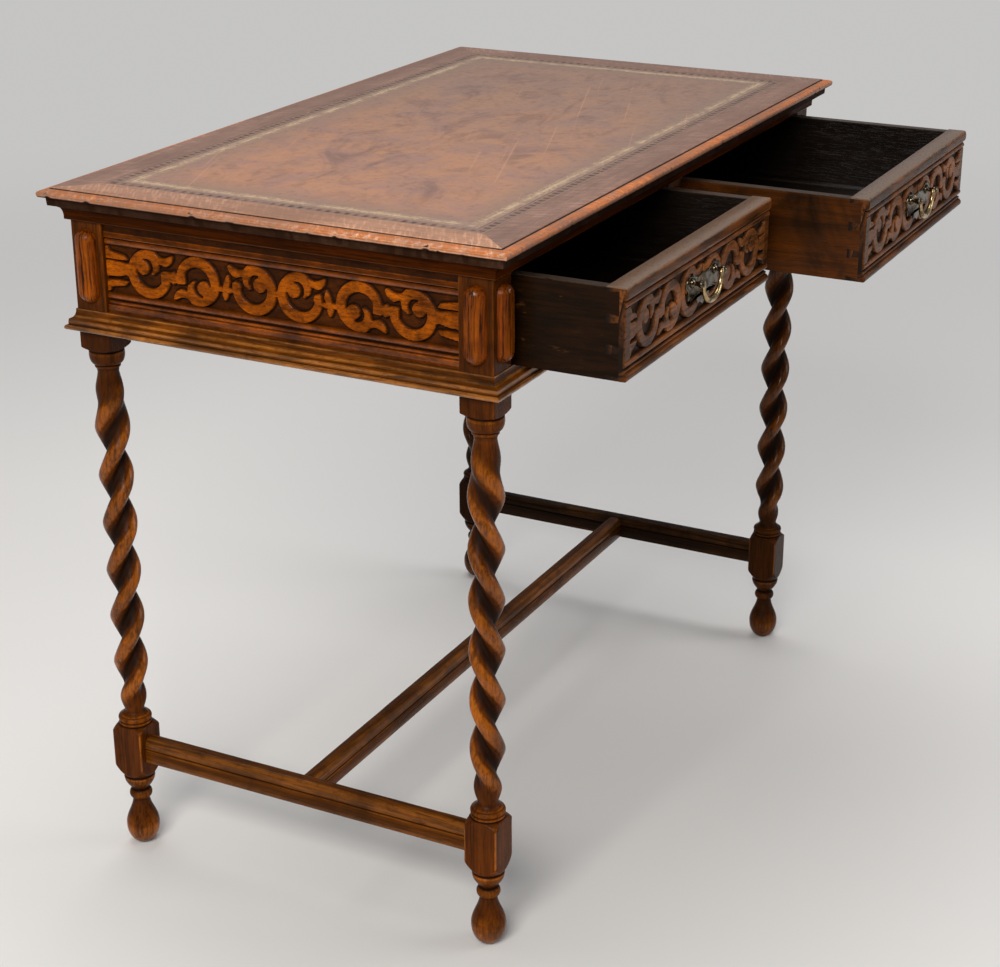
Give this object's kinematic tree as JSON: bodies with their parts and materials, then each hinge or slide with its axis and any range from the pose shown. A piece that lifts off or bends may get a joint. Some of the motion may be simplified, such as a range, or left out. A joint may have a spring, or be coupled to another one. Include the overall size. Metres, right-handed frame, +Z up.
{
  "type": "writing desk",
  "caption": "Oak writing desk with a tooled leather top, a carved frieze with sliding drawers, barley-twist legs and an H stretcher.",
  "frame": {"origin": "on the floor under the middle of the whole desk as it stands with both drawers open", "axes": "+X along the length to the viewer's right when facing the drawers, +Y from the drawers to the back, +Z up"},
  "size_m": [0.887, 0.7244, 0.757],
  "materials": {
    "oak": "waxed oak, semi-gloss",
    "dark_oak": "dark stained oak, semi-gloss",
    "drawer_oak": "dark stained oak, matt",
    "leather": "polished hide with gilt tooling",
    "brass": "aged, half polished"
  },
  "bodies": {
    "frame": {"leather_skin": "leather", "top_board": "oak", "top_border_front": "oak", "top_border_right": "oak", "top_border_back": "oak", "top_border_left": "oak", "bed_moulding_front": "dark_oak", "bed_moulding_right": "dark_oak", "bed_moulding_back": "dark_oak", "bed_moulding_left": "dark_oak", "base_moulding_front": "oak", "base_moulding_right": "oak", "base_moulding_back": "oak", "base_moulding_left": "oak", "leg_front_left": "oak", "leg_front_right": "oak", "leg_back_left": "oak", "leg_back_right": "oak", "end_panel_left": "oak", "end_panel_right": "oak", "back_panel": "dark_oak", "front_top_rail": "oak", "front_bottom_rail": "oak", "centre_stile": "oak", "half_rounds_left": "oak", "half_rounds_right": "oak", "half_rounds_front": "oak", "side_stretcher_left": "oak", "side_stretcher_right": "oak", "centre_stretcher": "oak", "drawer_runner_left": "drawer_oak", "drawer_runner_centre": "drawer_oak", "drawer_runner_right": "drawer_oak", "drawer_guides": "drawer_oak", "drawer_kicker_left": "drawer_oak", "drawer_kicker_centre": "drawer_oak", "drawer_kicker_right": "drawer_oak", "drawer_stops": "drawer_oak", "glue_blocks": "drawer_oak"},
    "drawer_left": {"left_drawer_front": "oak", "left_drawer_side_outer": "drawer_oak", "left_drawer_side_inner": "drawer_oak", "left_drawer_back": "drawer_oak", "left_drawer_bottom": "drawer_oak", "left_drawer_slips": "drawer_oak", "left_handle_plate": "brass", "left_handle_posts": "brass", "left_handle_nuts": "brass"},
    "bail_left": {"left_handle_bail": "brass"},
    "drawer_right": {"right_drawer_front": "oak", "right_drawer_side_outer": "drawer_oak", "right_drawer_side_inner": "drawer_oak", "right_drawer_back": "drawer_oak", "right_drawer_bottom": "drawer_oak", "right_drawer_slips": "drawer_oak", "right_handle_plate": "brass", "right_handle_posts": "brass", "right_handle_nuts": "brass"},
    "bail_right": {"right_handle_bail": "brass"}
  },
  "joints": [
    {"name": "left_drawer_slide", "type": "slide", "parent": "frame", "child": "drawer_left", "axis": [0, -1, 0], "range_m": [-0.117, 0.213]},
    {"name": "right_drawer_slide", "type": "slide", "parent": "frame", "child": "drawer_right", "axis": [0, -1, 0], "range_m": [-0.211, 0.119]},
    {"name": "left_bail_hinge", "type": "hinge", "parent": "drawer_left", "child": "bail_left", "pos_m": [-0.20225, -0.26435, 0.685], "axis": [-1, 0, 0], "range_deg": [-10, 100]},
    {"name": "right_bail_hinge", "type": "hinge", "parent": "drawer_right", "child": "bail_right", "pos_m": [0.20225, -0.35835, 0.685], "axis": [-1, 0, 0], "range_deg": [-10, 100]}
  ]
}
